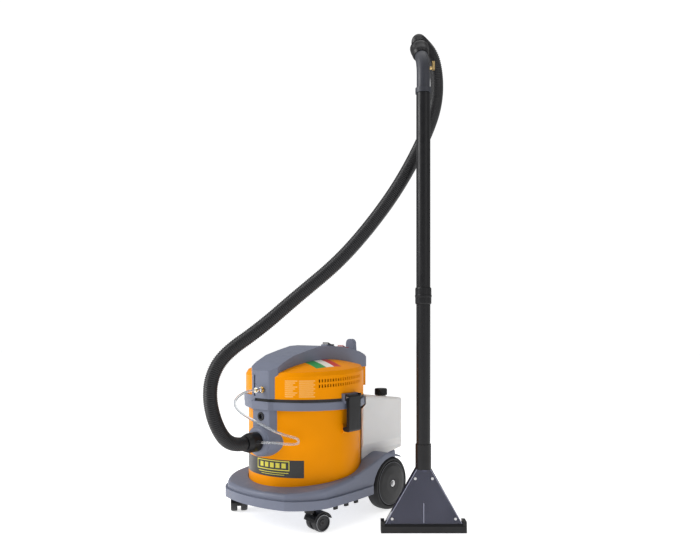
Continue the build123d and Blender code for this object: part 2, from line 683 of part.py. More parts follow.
# ---------------------------------------------------------------- inside the head
FAN_TOP = 368.0
with BuildPart() as fan_housing:
    add(turned([
        (PLATE_TOP, 24), (PLATE_TOP, 78), (FAN_TOP, 78), (FAN_TOP, 7), (FAN_TOP - 2, 7),
        (FAN_TOP - 2, 76), (PLATE_TOP + 2, 76), (PLATE_TOP + 2, 24),
    ]))
    with Locations((0, 0, (PLATE_TOP + FAN_TOP) / 2)):
        with PolarLocations(77, 8):
            Box(8, 20, 16, mode=Mode.SUBTRACT)
keep(fan_housing, "fan_housing")

MOTOR_RADIUS = 50.0
SHAFT_RADIUS = 4.0
with BuildPart() as motor_can:
    add(turned([
        (FAN_TOP, SHAFT_RADIUS + RUN_FIT), (FAN_TOP, 60), (FAN_TOP + 4, 60), (FAN_TOP + 6, MOTOR_RADIUS),
        (430, MOTOR_RADIUS), (438, MOTOR_RADIUS - 8), (438, 0), (404, 0), (404, SHAFT_RADIUS + RUN_FIT),
    ]))
keep(motor_can, "motor_can")

with BuildPart() as impeller:
    add(turned([
        (344, 20), (344, 66), (345.5, 66), (345.5, 20),
    ]))
    add(turned([
        (344, 0), (344, 10), (356, 10), (356, 66), (358, 66), (358, SHAFT_RADIUS), (402, SHAFT_RADIUS), (402, 0),
    ]))
    for blade in range(8):
        angle = radians(45 * blade)
        inner_edge = Vector(24 * cos(angle), 24 * sin(angle))
        outer_edge = Vector(64 * cos(angle + 0.6), 64 * sin(angle + 0.6))
        across = Vector(-sin(angle + 0.3), cos(angle + 0.3)) * 0.9
        corners = [inner_edge - across, outer_edge - across, outer_edge + across, inner_edge + across]
        add(slab(Plane.XY.offset(345), [(corner.X, corner.Y) for corner in corners], 11.5))
keep(impeller, "impeller")

FLOAT_RADIUS = 26.0
FLOAT_REST_Z = 292.0
with BuildPart() as float_cage:
    add(turned([
        (PLATE_LOW, 28), (PLATE_LOW, 36), (PLATE_LOW - 3, 36), (PLATE_LOW - 3, 30.5), (262, 30.5), (262, 10),
        (264.5, 10), (264.5, 28),
    ]))
    with Locations((0, 0, 296)):
        with PolarLocations(29, 6):
            Box(8, 16, 52, mode=Mode.SUBTRACT)
keep(float_cage, "float_cage")

with BuildPart() as float_ball:
    with Locations((0, 0, FLOAT_REST_Z)):
        Sphere(FLOAT_RADIUS)
keep(float_ball, "float_ball")

with BuildPart() as solution_pump:
    add(block((-134, -98), (-20, 34), (PLATE_TOP, 376)))
    add(rod((-116, 34, 358), (-116, 62, 358), 15))
    add(rod((-116, -20, 358), (-116, -44, 358), 5))
    add(rod((-116, 8, 376), (-116, 8, 392), 6))
keep(solution_pump, "solution_pump")

with BuildPart() as coupling_socket:
    add(turned([
        (150, 5.5), (178.1, 5.5), (178.1, 8.5), (182, 8.5), (182, 5.5), (206, 5.5), (206, 3.4), (203, 2.2),
        (150, 2.2),
    ], (COUPLING_X, 0, COUPLING_Z), (0, -1, 0)))
keep(coupling_socket, "coupling_socket")

with BuildPart() as coupling_sleeve:
    add(turned([
        (188, 5.56), (188, 8), (191, 8.4), (193, 7.4), (199, 7.4), (201, 8.4), (203.5, 8), (203.5, 5.56),
    ], (COUPLING_X, 0, COUPLING_Z), (0, -1, 0)))
keep(coupling_sleeve, "coupling_sleeve")


# ---------------------------------------------------------------- side latches
def latch(side, label):
    """Draw latch hinged on the ring's boss, its ramped toe held against the catch on the tank."""
    pin_x = 189.15
    outer_x = LATCH_INNER_X + LATCH_THICKNESS
    crest = LATCH_THICKNESS / 2
    with BuildPart() as piece:
        with BuildSketch(Plane.XZ):
            with BuildLine():
                Polyline((side * (pin_x - crest), LATCH_PIN_Z), (side * LATCH_INNER_X, 275),
                         (side * 170.5, 272), (side * 169.8, 266), (side * 176, LATCH_LOW),
                         (side * (outer_x - 3), LATCH_LOW), (side * outer_x, LATCH_LOW + 5),
                         (side * (pin_x + crest), LATCH_PIN_Z))
                ThreePointArc((side * (pin_x + crest), LATCH_PIN_Z), (side * pin_x, LATCH_PIN_Z + crest),
                              (side * (pin_x - crest), LATCH_PIN_Z))
            make_face()
        extrude(amount=LATCH_HALF_WIDTH, both=True)
        add(rod((side * pin_x, -40, LATCH_PIN_Z), (side * pin_x, 40, LATCH_PIN_Z), 2.5 + RUN_FIT), mode=Mode.SUBTRACT)
    keep(piece, label)


latch(-1, "latch_left")
latch(1, "latch_right")

with BuildPart() as latch_pins:
    for side in (-1, 1):
        add(rod((side * 189.15, -30, LATCH_PIN_Z), (side * 189.15, 30, LATCH_PIN_Z), 2.5))
keep(latch_pins, "latch_pins")


# ---------------------------------------------------------------- solution tank
def solution_block(inset):
    """Solution tank's outer form, drawn in by inset: its hollow front wraps the recovery tank."""
    half = 143.0 - inset
    foot_half = 133.4 - inset
    front_y = 99.0 + inset
    rear_y = 308.0 - inset
    with BuildPart() as solid:
        with BuildSketch(Plane.XY.offset(100)):
            with BuildLine():
                Polyline((-half, front_y), (half, front_y), (half, rear_y), (-half, rear_y), close=True)
            make_face()
            fillet(vertices().group_by(Axis.Y)[-1], radius=22 - inset)
            fillet(vertices().group_by(Axis.Y)[0], radius=5)
            Circle(TANK_RADIUS + 2.6 + inset, mode=Mode.SUBTRACT)
        extrude(amount=300)
        add(slab(Plane.YZ, [(60, 353 - 2 * inset), (350, 322 - 2 * inset), (350, 500), (60, 500)], 200, both=True),
            mode=Mode.SUBTRACT)
        ring_room = RING_RADIUS + 3 + inset
        low = RING_LOW - 14 - inset
        add(turned([(low, 0), (low, ring_room - 12), (low + 12, ring_room), (400, ring_room), (400, 0)]),
            mode=Mode.SUBTRACT)
        add(above_deck(-0.5 - inset), mode=Mode.INTERSECT)
        for side in (-1, 1):
            # The foot is narrower, to pass between the fenders.
            taper = [(side * foot_half, 80), (side * foot_half, FENDER_TOP + 3 + inset),
                     (side * (half + 0.5), 204 + inset), (side * 200, 204 + inset), (side * 200, 80)]
            add(slab(Plane.XZ.offset(-400), taper, 400), mode=Mode.SUBTRACT)
        if not inset:
            top = solid.faces().filter_by(lambda face: face.normal_at().Z > 0.9).sort_by(SortBy.AREA)[-1]
            fillet(top.edges().filter_by(lambda edge: edge.center().Y > 190), radius=9)
    return solid.part


SOLUTION_WALL = 2.6
with BuildPart() as solution_tank:
    add(solution_block(0))
    add(rod((CAP_X, CAP_Y, 326), (CAP_X, CAP_Y, 352), 15.5))
    add(rod((-CAP_X, CAP_Y, 326), (-CAP_X, CAP_Y, 349), 9))
    add(solution_block(SOLUTION_WALL), mode=Mode.SUBTRACT)
    add(rod((CAP_X, CAP_Y, 320), (CAP_X, CAP_Y, 360), 12.5), mode=Mode.SUBTRACT)
    add(rod((-CAP_X, CAP_Y, 320), (-CAP_X, CAP_Y, 360), 5.1), mode=Mode.SUBTRACT)
keep(solution_tank, "solution_tank")

with BuildPart() as pickup_tube:
    pickup = [(-CAP_X, CAP_Y, 172), (-CAP_X, CAP_Y, 356)]
    add(rod(pickup[0], pickup[1], 5))
    add(rod((-CAP_X, CAP_Y, 349), (-CAP_X, CAP_Y, 352), 8))
    add(rod((-CAP_X, CAP_Y, 160), (-CAP_X, CAP_Y, 360), 3), mode=Mode.SUBTRACT)
    add(rod((-CAP_X, CAP_Y, 167), (-CAP_X, CAP_Y, 178), 9))
keep(pickup_tube, "pickup_tube")

with BuildPart() as cap_liner:
    add(turned([(352.1, 0), (352.1, 15.5), (353.6, 15.5), (353.6, 0)], (CAP_X, CAP_Y, 0), (0, 0, 1)))
keep(cap_liner, "cap_liner")

CAP_RIBS = 24
with BuildPart() as solution_cap:
    add(turned([
        (337.5, 15.7), (337.5, 19.2), (356, 19.2), (358, 17.4), (358, 0), (353.7, 0), (353.7, 15.7),
    ], (CAP_X, CAP_Y, 0), (0, 0, 1)))
    with Locations((CAP_X, CAP_Y, 347)):
        with PolarLocations(19.2, CAP_RIBS):
            Box(1.4, 1.8, 16)
keep(solution_cap, "solution_cap")

# ---------------------------------------------------------------- hand wand
TOOL_HALF = 115.0
CHAMBER_LOW = 24.1
CHAMBER_TOP = 170.0
CHAMBER_FRONT = -12.0
CHAMBER_BACK = 8.0
CHAMBER_OUTLINE = [(-104, CHAMBER_LOW), (104, CHAMBER_LOW), (20, CHAMBER_TOP), (-20, CHAMBER_TOP)]
SCREW_PLACES = [(-23, 146), (23, 146), (-85, 38), (85, 38)]

with BuildPart() as tool_lip:
    lip_side = [(-16, 0), (20, 0), (20, 17), (13, 24), (-13, 24), (-17, 18), (-17, 3)]
    add(slab(wand_side(-TOOL_HALF), lip_side, 2 * TOOL_HALF))
    for end in (-1, 1):
        ear_low, ear_high = sorted((end * 105, end * TOOL_HALF))
        add(slab(wand_front(18), [(ear_low, 0), (ear_high, 0), (ear_high, 31), (ear_low, 31)], 34))
    add(slab(wand_front(5), [(-100, -1), (100, -1), (100, 40), (-100, 40)], 11), mode=Mode.SUBTRACT)
keep(tool_lip, "tool_lip")

with BuildPart() as tool_window:
    add(slab(wand_front(CHAMBER_BACK), CHAMBER_OUTLINE, CHAMBER_BACK - CHAMBER_FRONT))
    hollow = [(-101.5, 20), (101.5, 20), (16.6, 175), (-16.6, 175)]
    add(slab(wand_front(CHAMBER_BACK + 1), hollow, CHAMBER_BACK - CHAMBER_FRONT - 1.6), mode=Mode.SUBTRACT)
    for right, up in SCREW_PLACES:
        add(rod(wand_point(right, -20, up), wand_point(right, 0, up), 1.9), mode=Mode.SUBTRACT)
keep(tool_window, "tool_window")

SLEEVE_RADIUS = 21.5
SOCKET_RADIUS = WAND_TUBE_RADIUS + 0.03
with BuildPart() as tool_back_shell:
    back_outline = [(-104, CHAMBER_LOW), (104, CHAMBER_LOW), (20, CHAMBER_TOP + 4), (-20, CHAMBER_TOP + 4)]
    add(slab(wand_front(CHAMBER_BACK + 3.1), back_outline, 3))
    add(slab(wand_front(CHAMBER_BACK + 1), [(-2, 26), (2, 26), (2, 82), (-2, 82)], 16.4))
    add(rod(wand_point(0, 0, CHAMBER_TOP + 0.2), wand_point(0, 0, 237), SLEEVE_RADIUS))
    add(rod(wand_point(0, 0, 178), wand_point(0, 0, 240), SOCKET_RADIUS), mode=Mode.SUBTRACT)
    add(rod(wand_point(0, 0, 160), wand_point(0, 0, 240), 15), mode=Mode.SUBTRACT)
    arm = [(10, 118), (68, 118), (68, 124), (30, 130), (10, 152)]
    add(slab(wand_side(-12), arm, 5))
    add(slab(wand_side(7), arm, 5))
    add(slab(wand_side(-12), [(54, 118), (70, 118), (70, 124), (54, 124)], 24))
    add(rod(wand_point(0, 62, 100), wand_point(0, 62, 130), 5.1), mode=Mode.SUBTRACT)
keep(tool_back_shell, "tool_back_shell")

with BuildPart() as tool_screws:
    for right, up in SCREW_PLACES:
        add(rod(wand_point(right, CHAMBER_FRONT - 2, up), wand_point(right, CHAMBER_FRONT - 0.1, up), 3.6))
        add(rod(wand_point(right, CHAMBER_FRONT - 1, up), wand_point(right, CHAMBER_FRONT + 2, up), 1.8))
        add(rod(wand_point(right, CHAMBER_FRONT - 3, up), wand_point(right, CHAMBER_FRONT - 1.2, up), 1.5),
            mode=Mode.SUBTRACT)
keep(tool_screws, "tool_screws")

with BuildPart() as spray_nozzle:
    nozzle_axis = wand_point(0, 62, 0)
    add(turned([
        (92, 1.2), (92, 5), (98, 8), (108, 8), (108, 7), (117.8, 7), (117.8, 5), (134, 5), (134, 2.5), (100, 2.5),
    ], tuple(nozzle_axis), (0, 0, 1)))
keep(spray_nozzle, "spray_nozzle")

TUBE_BORE = 17.0
TUBE_JOINT = 636.0
GRIP_LOW = 1183.0


def wand_tube(low, high, label):
    """One length of the wand's round tube."""
    with BuildPart() as piece:
        add(rod(wand_point(0, 0, low), wand_point(0, 0, high), WAND_TUBE_RADIUS))
        add(rod(wand_point(0, 0, low - 1), wand_point(0, 0, high + 1), TUBE_BORE), mode=Mode.SUBTRACT)
    keep(piece, label)


wand_tube(178.2, TUBE_JOINT, "wand_tube_lower")
wand_tube(TUBE_JOINT + 0.4, 1195, "wand_tube_upper")

with BuildPart() as wand_collar:
    add(turned([
        (614, 0), (614, 20.6), (617, 21.8), (632, 21.8), (634, 22.6), (638, 22.6), (640, 21.8), (656, 21.8),
        (659, 20.6), (659, 0),
    ], tuple(WAND_FOOT), (0, 0, 1)))
    add(rod(wand_point(0, 0, 600), wand_point(0, 0, 680), SOCKET_RADIUS), mode=Mode.SUBTRACT)
keep(wand_collar, "wand_collar")

grip_end = wand_point(*GRIP_END)
grip_knee = wand_point(0, 0, 1262)
grip_direction = (grip_end - grip_knee).normalized()
SWIVEL_LENGTH = 56.0
GRIP_RADIUS = 18.0
GRIP_PATH = [wand_point(0, 0, 1195), grip_knee, grip_end - grip_direction * 6]
GRIP_BEND = [80.0]
PIVOT_Z = 1243.0                           # height of the trigger's pin
with BuildPart() as wand_grip:
    add(rod(wand_point(0, 0, GRIP_LOW), wand_point(0, 0, 1197), SLEEVE_RADIUS))
    add(bent_tube(GRIP_PATH, GRIP_RADIUS, GRIP_BEND)[0])
    add(bent_tube(GRIP_PATH, GRIP_RADIUS - 3, GRIP_BEND)[0], mode=Mode.SUBTRACT)
    for right in (-11.5, 8.5):
        add(slab(wand_side(right), [(10, 1235), (26, 1235), (30, 1239), (30, 1248), (24, 1252), (10, 1252)], 3))
    add(rod(wand_point(0, 0, GRIP_LOW - 1), wand_point(0, 0, 1195), SOCKET_RADIUS), mode=Mode.SUBTRACT)
    add(rod(wand_point(0, 0, 1190), wand_point(0, 0, 1230), GRIP_RADIUS - 3), mode=Mode.SUBTRACT)
    add(rod(wand_point(-20, 25, PIVOT_Z), wand_point(20, 25, PIVOT_Z), 2.02), mode=Mode.SUBTRACT)
    add(rod(wand_point(-12, 25, PIVOT_Z), wand_point(12, 25, PIVOT_Z), 2))
keep(wand_grip, "wand_grip")

# Turning cuff between the grip and the hose.
with BuildPart() as hose_swivel:
    swivel_foot = grip_end - grip_direction * SWIVEL_LENGTH
    add(turned([
        (14, GRIP_RADIUS + 0.3), (14, 20), (24, 23), (36, 24), (44, 25.5), (50, 25.5), (50, 24), (53, 24),
        (53, 25.5), (SWIVEL_LENGTH - 1, 24), (SWIVEL_LENGTH, 22), (SWIVEL_LENGTH, 14), (50.3, 14),
        (50.3, GRIP_RADIUS + 0.3),
    ], tuple(swivel_foot), tuple(grip_direction)))
keep(hose_swivel, "hose_swivel")

with BuildPart() as trigger:
    lever = [
        (22, 1239), (20.5, 1243), (22, 1247), (28, 1249), (31, 1246), (33.5, 1230), (37, 1205), (35, 1201),
        (32.5, 1202), (29, 1228),
    ]
    add(slab(wand_side(-8), lever, 16))
    add(rod(wand_point(-20, 25, PIVOT_Z), wand_point(20, 25, PIVOT_Z), 2 + RUN_FIT), mode=Mode.SUBTRACT)
keep(trigger, "trigger")

with BuildPart() as wand_valve:
    add(slab(wand_side(-7), [(18.3, 1198), (26, 1198), (26, 1216), (18.3, 1216)], 14))
    add(rod(wand_point(0, 26.6, 1184), wand_point(0, 26.6, 1199), 4.8))
    add(rod(wand_point(0, 24, 1207), wand_point(0, 27.2, 1207), 2.5))
    add(rod(wand_point(17.8, 2, 1252), wand_point(27, 2, 1252), 4))
    add(rod(wand_point(27, 2, 1247), wand_point(27, 2, 1270), 4.6))
keep(wand_valve, "wand_valve")

# Rigid spray line up the back of the wand, from the nozzle to the valve.
SPRAY_ROUTE = [
    tuple(wand_point(0, 62, 134)), tuple(wand_point(0, 62, 158)), tuple(wand_point(0, 26.6, 226)),
    tuple(wand_point(0, 26.6, 1184)),
]
with BuildPart() as spray_line:
    add(bent_tube(SPRAY_ROUTE, 4, [22, 60])[0])
keep(spray_line, "spray_line")

# ---------------------------------------------------------------- hose and clear tube
exit_point = grip_end + grip_direction * HOSE_EXIT_RUN
cord(HOSE_LOWER_ROUTE + [HOSE_PARTING], HOSE_RADIUS, "vacuum_hose_lower")
upper_route = [HOSE_PARTING] + HOSE_UPPER_ROUTE + [tuple(exit_point), tuple(grip_end)]
cord(upper_route, HOSE_RADIUS, "vacuum_hose_upper")
port_end = PORT_ROOT + PORT_DIRECTION * PORT_REACH
cord(SOLUTION_ROUTE + [tuple(port_end)], TUBE_RADIUS, "solution_tube")

# ---------------------------------------------------------------- write the pieces
CORD_LABELS = ("vacuum_hose_lower", "vacuum_hose_upper", "solution_tube")
body_boxes = [piece.part.bounding_box() for piece in finished if piece.part.label not in CORD_LABELS]
low_x = min(box.min.X for box in body_boxes)
high_x = max(box.max.X for box in body_boxes)
low_y = min(box.min.Y for box in body_boxes)
high_y = max(box.max.Y for box in body_boxes)
print("bottom centre needs a shift of", round(-(low_x + high_x) / 2, 2), round(-(low_y + high_y) / 2, 2))
for piece in finished:
    label = piece.part.label
    placed = piece.part.moved(Location(FRAME_SHIFT))
    placed.label = label
    export_step(placed, f"parts/{label}.step")
print("pieces", len(finished))
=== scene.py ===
"""Looks of a commercial spot extractor: a wheeled base with a round recovery tank, a motor head,
a rear solution tank, a ribbed suction hose and an upright hand wand with a clear floor tool.
Everything is in metres in the row frame. Layout points below are millimetres about the tank's
axis, the same as in the CAD source, and at() moves them into the row frame.
"""
import json
from math import cos, sin, pi, radians, sqrt, floor as whole
import bmesh
import bpy
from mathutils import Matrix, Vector


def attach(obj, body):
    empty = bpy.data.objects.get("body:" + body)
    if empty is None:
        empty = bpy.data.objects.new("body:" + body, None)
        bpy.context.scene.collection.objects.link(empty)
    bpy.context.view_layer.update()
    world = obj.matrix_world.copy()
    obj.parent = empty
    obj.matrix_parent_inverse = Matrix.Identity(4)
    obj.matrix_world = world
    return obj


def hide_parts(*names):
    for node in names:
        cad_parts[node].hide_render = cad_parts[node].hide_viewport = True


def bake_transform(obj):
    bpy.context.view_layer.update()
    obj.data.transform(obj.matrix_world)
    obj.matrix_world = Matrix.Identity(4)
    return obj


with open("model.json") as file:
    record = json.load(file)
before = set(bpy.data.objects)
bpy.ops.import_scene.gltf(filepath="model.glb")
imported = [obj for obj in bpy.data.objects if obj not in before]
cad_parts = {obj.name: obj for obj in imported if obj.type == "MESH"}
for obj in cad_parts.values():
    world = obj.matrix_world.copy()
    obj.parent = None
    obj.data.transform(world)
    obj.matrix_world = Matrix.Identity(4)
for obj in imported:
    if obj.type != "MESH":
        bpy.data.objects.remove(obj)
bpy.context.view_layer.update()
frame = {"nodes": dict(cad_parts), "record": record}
NODES = frame["nodes"]

FRAME_SHIFT = Vector((-135.5, -36.0, 0.0))
WAND_FOOT = Vector((375, 70, 0))
WAND_TURN = radians(40)
WAND_RIGHT = Vector((cos(WAND_TURN), sin(WAND_TURN), 0))
WAND_BACK = Vector((-sin(WAND_TURN), cos(WAND_TURN), 0))
UP = Vector((0, 0, 1))


def at(x, y, z):
    """A layout point in millimetres as a row-frame point in metres."""
    return (Vector((x, y, z)) + FRAME_SHIFT) / 1000


def wand_at(right, back, up):
    """A point given from the wand's foot, as a row-frame point."""
    return at(*(WAND_FOOT + WAND_RIGHT * right + WAND_BACK * back + UP * up))


def on_drum(angle, radius, z):
    """A point round the tank's axis: angle 0 faces the front, positive to the machine's right."""
    a = radians(angle)
    return at(radius * sin(a), -radius * cos(a), z)


# ---------------------------------------------------------------- camera
camera = bpy.data.objects.new("camera", bpy.data.cameras.new("camera"))
bpy.context.scene.collection.objects.link(camera)
camera.location = at(1371, -1425, 555)
camera.rotation_euler = (radians(90), 0, WAND_TURN)
camera.data.lens = 34.0
camera.data.sensor_width = 36.0
camera.data.shift_y = 0.073
camera.data.clip_start = 0.05
bpy.context.scene.camera = camera


# ---------------------------------------------------------------- mesh helpers
def new_piece(name, mesh, smooth=None):
    """Link a mesh as a new object; smooth is the sharpest angle, in degrees, that still shades smooth."""
    obj = bpy.data.objects.new(name, mesh)
    bpy.context.scene.collection.objects.link(obj)
    if smooth is not None:
        mesh.shade_smooth()
        mesh.set_sharp_from_angle(angle=radians(smooth))
    return obj


def mesh_of(name, points, faces):
    """A mesh from points and faces."""
    mesh = bpy.data.meshes.new(name)
    mesh.from_pydata([tuple(p) for p in points], [], faces)
    mesh.update()
    return mesh


def centreline(name, route):
    """The smooth line through a route's control points, read from its NURBS spline."""
    curve = bpy.data.curves.new(name, "CURVE")
    curve.dimensions = "3D"
    curve.resolution_u = 40
    spline = curve.splines.new("NURBS")
    spline.points.add(len(route) - 1)
    for point, place in zip(spline.points, route):
        point.co = (*at(*place), 1)
    spline.order_u = 3
    spline.use_endpoint_u = True
    holder = bpy.data.objects.new(name, curve)
    bpy.context.scene.collection.objects.link(holder)
    bpy.context.view_layer.update()
    line = bpy.data.meshes.new_from_object(holder)
    points = [v.co.copy() for v in line.vertices]
    bpy.data.objects.remove(holder)
    bpy.data.meshes.remove(line)
    return points


def line_length(points):
    """Length along a line of points."""
    return sum((b - a).length for a, b in zip(points, points[1:]))


def walk(points, distances):
    """Position and direction at each distance along a line."""
    found = []
    index = 0
    passed = 0.0
    for distance in distances:
        while index < len(points) - 2 and passed + (points[index + 1] - points[index]).length < distance:
            passed += (points[index + 1] - points[index]).length
            index += 1
        step = points[index + 1] - points[index]
        part = (distance - passed) / max(step.length, 1e-9)
        before = points[index] - points[index - 1] if index else step
        after = points[index + 2] - points[index + 1] if index + 2 < len(points) else step
        blend = min(max(part, 0), 1)
        start_dir = (before.normalized() + step.normalized()).normalized()
        end_dir = (after.normalized() + step.normalized()).normalized()
        found.append((points[index] + step * part, start_dir.lerp(end_dir, blend).normalized()))
    return found


def skin(name, stations, radii, sides):
    """A tube through stations of (position, direction), with a radius for each and closed ends."""
    verts = []
    faces = []
    normal = stations[0][1].orthogonal().normalized()
    for (place, direction), radius in zip(stations, radii):
        normal = (normal - direction * normal.dot(direction)).normalized()
        other = direction.cross(normal)
        for side in range(sides):
            a = 2 * pi * side / sides
            verts.append(place + normal * (radius * cos(a)) + other * (radius * sin(a)))
    rows = len(stations)
    for row in range(rows - 1):
        for side in range(sides):
            nxt = (side + 1) % sides
            faces.append((row * sides + side, row * sides + nxt,
                          (row + 1) * sides + nxt, (row + 1) * sides + side))
    faces.append(tuple(reversed(range(sides))))
    faces.append(tuple((rows - 1) * sides + side for side in range(sides)))
    return new_piece(name, mesh_of(name, verts, faces), 60)


# ---------------------------------------------------------------- hose and solution tube
HOSE_ROUTE = [
    (0, -236, 236), (0, -264, 236), (1, -301, 252), (4, -329, 286), (4, -347, 326), (2, -355, 372),
    (2, -350, 418), (9, -331, 462), (28, -300, 498), (55, -263, 530), (85, -222, 570), (116, -180, 616),
    (150, -138, 661.5), (184, -96, 707), (213, -56, 755), (241, -19, 808), (267, 18, 865),
    (289, 56, 925), (307, 94, 990), (319, 131, 1055), (327, 167, 1120), (328, 198, 1180),
    (325, 217, 1238), (322, 218, 1297), (318, 203, 1344), (310, 159, 1367),
    (325.1, 113.6, 1356.5), (340.7, 100.0, 1327),
]
TUBE_ROUTE = [
    (9, -206, 379), (9, -228, 379), (-2, -248, 371), (-13, -259, 355), (-13, -258, 338),
    (-2, -249, 322), (18, -234, 306), (42, -213, 290), (69, -191, 271), (92, -172, 260),
    (108, -158, 255), (119, -149, 250), (117, -146, 238), (103, -153, 234), (80, -170, 236),
    (57, -187.7, 239), (34.3, -205.66, 239),
]

HOSE_RADIUS = 0.019
HOSE_SIDES = 28
RIB_PITCH = 0.0052
RIB_DEPTH = 0.0017
TUBE_RADIUS = 0.0035
TUBE_SIDES = 16
TUBE_STEP = 0.0025

# Each rib is (part of the pitch, depth below the hose's radius), from one groove to the next.
RIB_PROFILE = [(0.0, -RIB_DEPTH), (0.2, -0.0013), (0.36, -0.0001), (0.5, 0.0), (0.64, -0.0001), (0.8, -0.0013)]
hose_line = centreline("hose_line", HOSE_ROUTE)
hose_length = line_length(hose_line)
rib_count = whole(hose_length / RIB_PITCH)
rib_steps = []
rib_radii = []
for rib in range(rib_count):
    for part, dip in RIB_PROFILE:
        rib_steps.append((rib + part) * hose_length / rib_count)
        rib_radii.append(HOSE_RADIUS + dip)
rib_steps.append(hose_length)
rib_radii.append(HOSE_RADIUS - RIB_DEPTH)
vacuum_hose = skin("vacuum_hose", walk(hose_line, rib_steps), rib_radii, HOSE_SIDES)
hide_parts("vacuum_hose_lower", "vacuum_hose_upper")
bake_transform(vacuum_hose)

tube_line = centreline("tube_line", TUBE_ROUTE)
tube_length = line_length(tube_line)
tube_count = whole(tube_length / TUBE_STEP)
tube_steps = [tube_length * step / tube_count for step in range(tube_count + 1)]
clear_tube = skin("clear_tube", walk(tube_line, tube_steps), [TUBE_RADIUS] * len(tube_steps), TUBE_SIDES)
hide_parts("solution_tube")
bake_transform(clear_tube)


# ---------------------------------------------------------------- materials
def srgb(r, g, b):
    """A colour given as 0 to 255 display values, as linear light."""
    return tuple(v / 12.92 if v <= 0.04045 else ((v + 0.055) / 1.055) ** 2.4
                 for v in (r / 255, g / 255, b / 255)) + (1.0,)


class Finish:
    """A Principled material with small helpers for its procedural detail."""

    def __init__(self, name, **sockets):
        self.material = bpy.data.materials.new(name)
        self.material.use_nodes = True
        self.tree = self.material.node_tree
        self.shader = self.tree.nodes["Principled BSDF"]
        for label, value in sockets.items():
            self.shader.inputs[label.replace("_", " ")].default_value = value
        self.place = self.tree.nodes.new("ShaderNodeTexCoord").outputs["Object"]

    def add(self, kind, inputs=(), **settings):
        """A new node, with its settings and its inputs set or linked."""
        made = self.tree.nodes.new(kind)
        for key, value in settings.items():
            setattr(made, key, value)
        for key, value in dict(inputs).items():
            if isinstance(value, bpy.types.NodeSocket):
                self.tree.links.new(value, made.inputs[key])
            else:
                made.inputs[key].default_value = value
        return made

    def stretched(self, scale):
        """Object coordinates scaled apart on each axis."""
        return self.add("ShaderNodeMapping", {"Vector": self.place, "Scale": scale}).outputs["Vector"]

    def noise(self, scale, detail=3.0, rough=0.55, vector=None):
        """A noise value, over object coordinates unless another vector is given."""
        return self.add("ShaderNodeTexNoise", {
            "Vector": vector or self.place, "Scale": scale, "Detail": detail, "Roughness": rough,
        }).outputs["Fac"]

    def spread(self, value, low, high, low_in=0.0, high_in=1.0):
        """A value stretched from one range to another, and clamped."""
        return self.add("ShaderNodeMapRange", {
            "Value": value, "From Min": low_in, "From Max": high_in, "To Min": low, "To Max": high,
        }).outputs["Result"]

    def ramp(self, value, *stops):
        """Colour from a value: stops are (position, colour)."""
        made = self.add("ShaderNodeValToRGB", {"Fac": value})
        band = made.color_ramp
        while len(band.elements) < len(stops):
            band.elements.new(0.5)
        for element, (place, colour) in zip(band.elements, stops):
            element.position = place
            element.color = colour
        return made.outputs["Color"]

    def mix(self, amount, first, second):
        """Two colours mixed by an amount from 0 to 1."""
        made = self.add("ShaderNodeMix", data_type="RGBA")
        for index, value in ((0, amount), (6, first), (7, second)):
            if isinstance(value, bpy.types.NodeSocket):
                self.tree.links.new(value, made.inputs[index])
            else:
                made.inputs[index].default_value = value
        return made.outputs[2]

    def to(self, label, value):
        """Link a value to one input of the shader."""
        self.tree.links.new(value, self.shader.inputs[label])

    def bump(self, height, strength, distance):
        """Raise the surface by a height value."""
        made = self.add("ShaderNodeBump", {"Height": height, "Strength": strength, "Distance": distance})
        self.to("Normal", made.outputs["Normal"])


def shade(colour, factor):
    """A colour made lighter or darker."""
    return tuple(min(1.0, c * factor) for c in colour[:3]) + (1.0,)


def plastic(name, colour, roughness, grain=900.0, bump=0.12, drift=0.06, scuff=0.5, **sockets):
    """Moulded plastic: faint colour drift, handling dust and fine surface grain."""
    made = Finish(name, **sockets)
    tone = made.ramp(made.noise(9.0, 2.0), (0.3, shade(colour, 1 - drift)), (0.7, shade(colour, 1 + drift)))
    dust = made.spread(made.noise(70.0, 6.0, 0.7), 0.0, scuff * 0.14, 0.56, 0.8)
    grey = sum(colour[:3]) / 3
    made.to("Base Color", made.mix(dust, tone, (grey * 0.7 + 0.25,) * 3 + (1.0,)))
    smears = made.noise(40.0, 5.0, 0.65)
    made.to("Roughness", made.spread(smears, roughness - 0.07, roughness + 0.09, 0.3, 0.7))
    made.bump(made.noise(grain, 2.0, 0.5), bump, 0.0003)
    return made


YELLOW = srgb(240, 147, 0)
GREY = srgb(112, 117, 134)
BLACK = srgb(15, 15, 18)

yellow = plastic("yellow_shell", YELLOW, 0.34, grain=260.0, bump=0.05, drift=0.03, scuff=0.0,
                 Specular_IOR_Level=0.05)
grey = plastic("blue_grey_shell", GREY, 0.42, grain=1100.0, bump=0.22, drift=0.04, scuff=0.15,
               Specular_IOR_Level=0.35)
black = plastic("black_moulding", BLACK, 0.38, grain=1000.0, bump=0.18, drift=0.10, scuff=0.12,
                Specular_IOR_Level=0.35)
gloss = plastic("switch_black", srgb(24, 24, 26), 0.18, grain=300.0, bump=0.03, drift=0.05, scuff=0.2)
red = plastic("switch_red", srgb(150, 22, 26), 0.22, grain=300.0, bump=0.03, drift=0.05, scuff=0.2)
white = plastic("white_moulding", srgb(225, 223, 215), 0.45, drift=0.03)
grip = plastic("grip_grey", srgb(44, 46, 54), 0.46, grain=700.0, bump=0.3, drift=0.08)
hose_vinyl = plastic("hose_vinyl", srgb(21, 21, 24), 0.36, grain=600.0, bump=0.10, drift=0.12, scuff=0.1,
                     Specular_IOR_Level=0.4)
rubber = plastic("matt_rubber", srgb(34, 34, 35), 0.72, grain=800.0, bump=0.25, drift=0.10, scuff=0.6)
